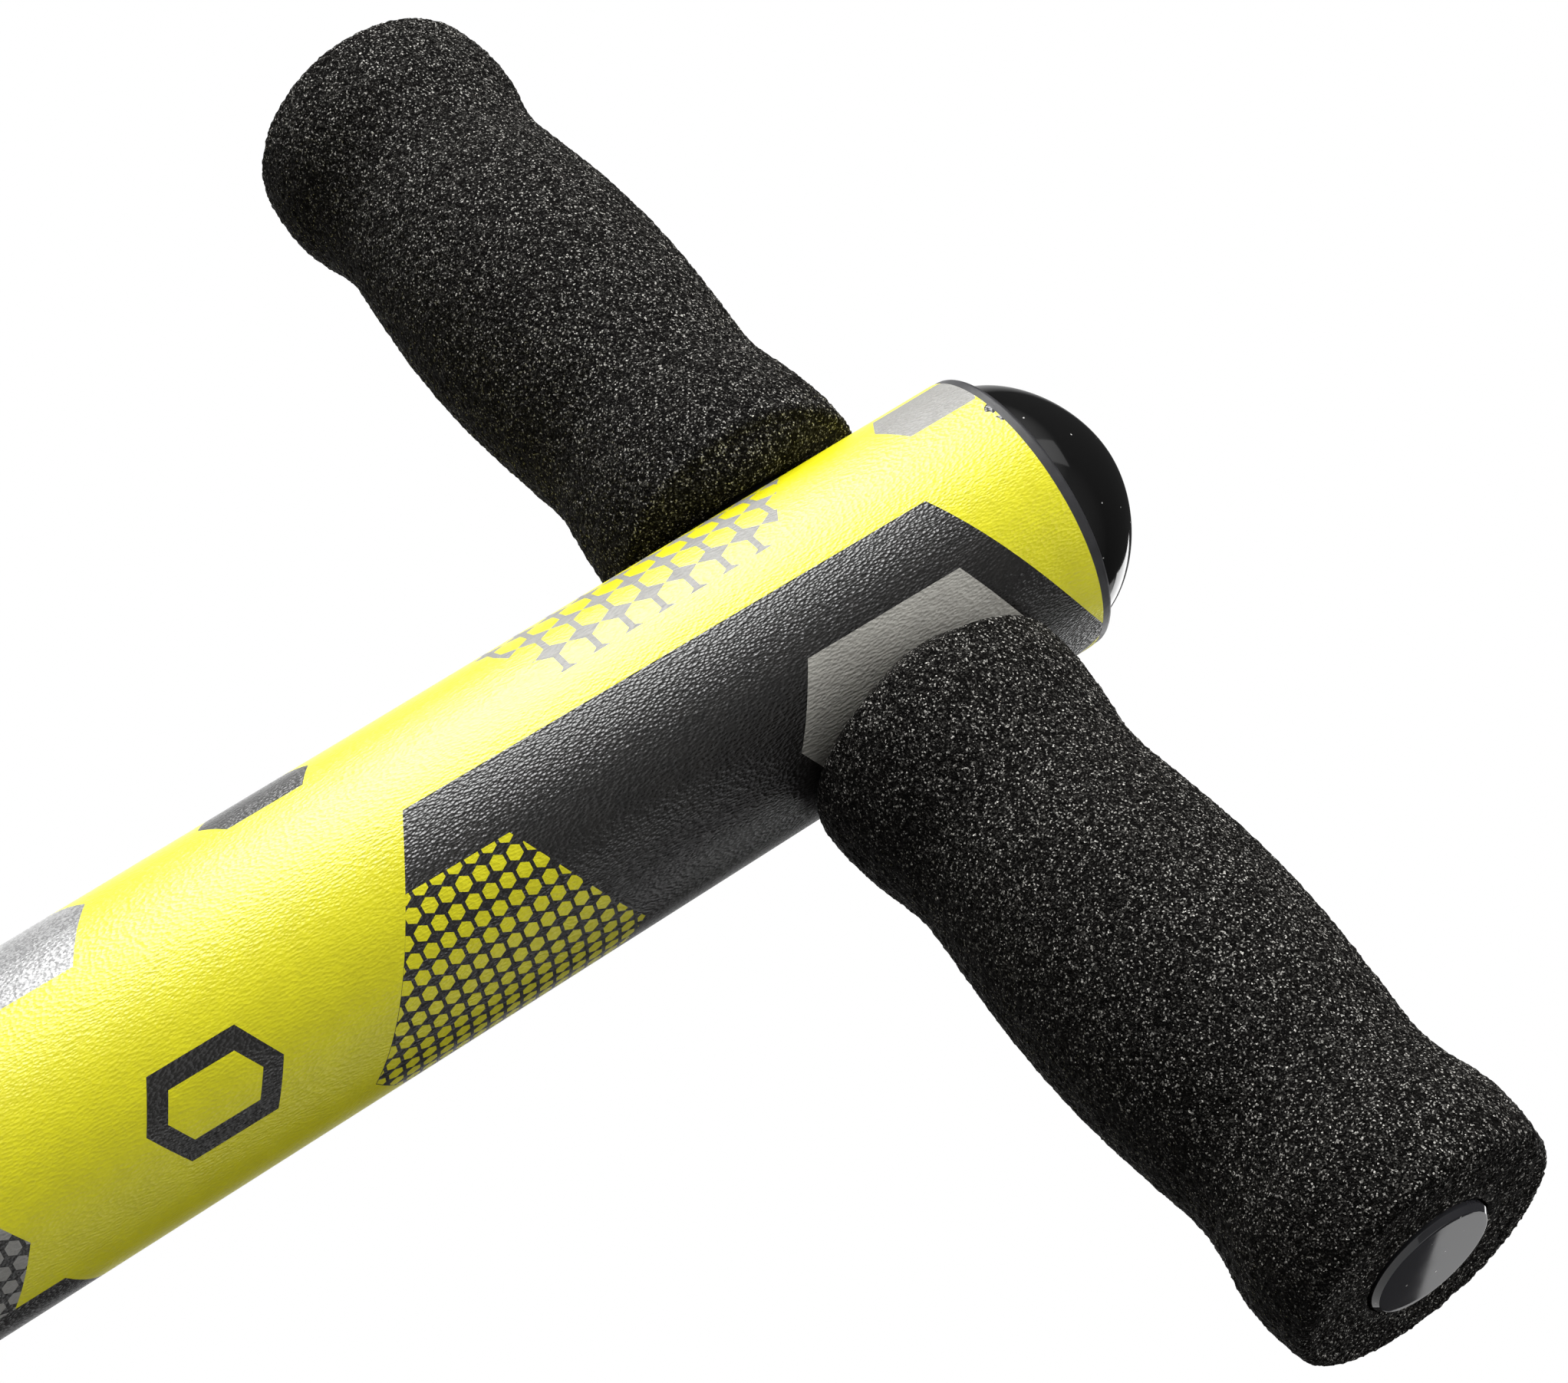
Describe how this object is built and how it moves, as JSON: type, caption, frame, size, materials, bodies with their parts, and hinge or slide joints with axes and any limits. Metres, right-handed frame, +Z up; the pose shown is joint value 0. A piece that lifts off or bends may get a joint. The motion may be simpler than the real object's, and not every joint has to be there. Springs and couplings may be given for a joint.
{
  "type": "pogo stick",
  "caption": "Pogo stick: round printed outer tube with foam-gripped crossbar, dome top plug, folding foot pegs and a spring-loaded plunger on a rubber foot.",
  "frame": {"origin": "centre of the rubber foot's sole, on the ground", "axes": "+Z up along the outer tube, +X along the right half of the handlebar, -Y towards the front"},
  "size_m": [0.2936, 0.0705, 1.0031],
  "materials": {
    "outer_tube": "powder-coated steel tube wrapped in a satin printed film, bright yellow with black, grey and silver hexagons",
    "foam_grip": "fine-grained black closed-cell foam, matt",
    "cap_plastic": "glossy black moulded plastic",
    "black_plastic": "satin black moulded plastic",
    "rubber": "matt black rubber",
    "black_paint": "fine-textured black powder coat on steel",
    "plated_steel": "bright zinc plating",
    "plunger_steel": "polished chromed steel",
    "spring_steel": "oiled dark spring steel",
    "nylon": "natural white nylon"
  },
  "bodies": {
    "frame": {"outer_tube": "outer_tube", "top_cap": "cap_plastic", "handlebar_tube": "black_paint", "bar_insert": "plated_steel", "bar_washer": "plated_steel", "bar_screw": "plated_steel", "grip_right": "foam_grip", "bar_plug_right": "cap_plastic", "grip_left": "foam_grip", "bar_plug_left": "cap_plastic", "spring_stop": "nylon", "spring_guide_rod": "plated_steel", "main_spring": "spring_steel", "stop_bolt": "plated_steel", "stop_washer_rear": "plated_steel", "stop_washer_front": "plated_steel", "stop_nut": "plated_steel", "guide_bush": "nylon", "bottom_collar": "black_plastic", "collar_screw_1": "plated_steel", "collar_screw_2": "plated_steel", "collar_screw_3": "plated_steel", "foot_bracket": "black_paint", "peg_bolt_right": "plated_steel", "peg_nut_right": "plated_steel", "peg_bolt_left": "plated_steel", "peg_nut_left": "plated_steel", "bumper_ring": "rubber"},
    "plunger": {"plunger_tube": "plunger_steel", "piston": "nylon", "piston_pin": "plated_steel", "spring_seat": "plated_steel", "tip_washer": "plated_steel", "rubber_foot": "rubber"},
    "peg_right": {"peg_right": "black_paint", "tread_right": "rubber", "tread_screw_right_1": "plated_steel", "tread_screw_right_2": "plated_steel"},
    "peg_left": {"peg_left": "black_paint", "tread_left": "rubber", "tread_screw_left_1": "plated_steel", "tread_screw_left_2": "plated_steel"}
  },
  "joints": [
    {"name": "plunger_slide", "type": "slide", "parent": "frame", "child": "plunger", "axis": [0, 0, 1], "range_m": [0, 0.09], "stiffness_N_per_m": 8100, "springref_m": -0.015, "deforming": ["main_spring"]},
    {"name": "peg_right_fold", "type": "hinge", "parent": "frame", "child": "peg_right", "pos_m": [0.042, 0, 0.255], "axis": [0, -1, 0], "range_deg": [0, 90]},
    {"name": "peg_left_fold", "type": "hinge", "parent": "frame", "child": "peg_left", "pos_m": [-0.042, 0, 0.255], "axis": [0, 1, 0], "range_deg": [0, 90]}
  ]
}
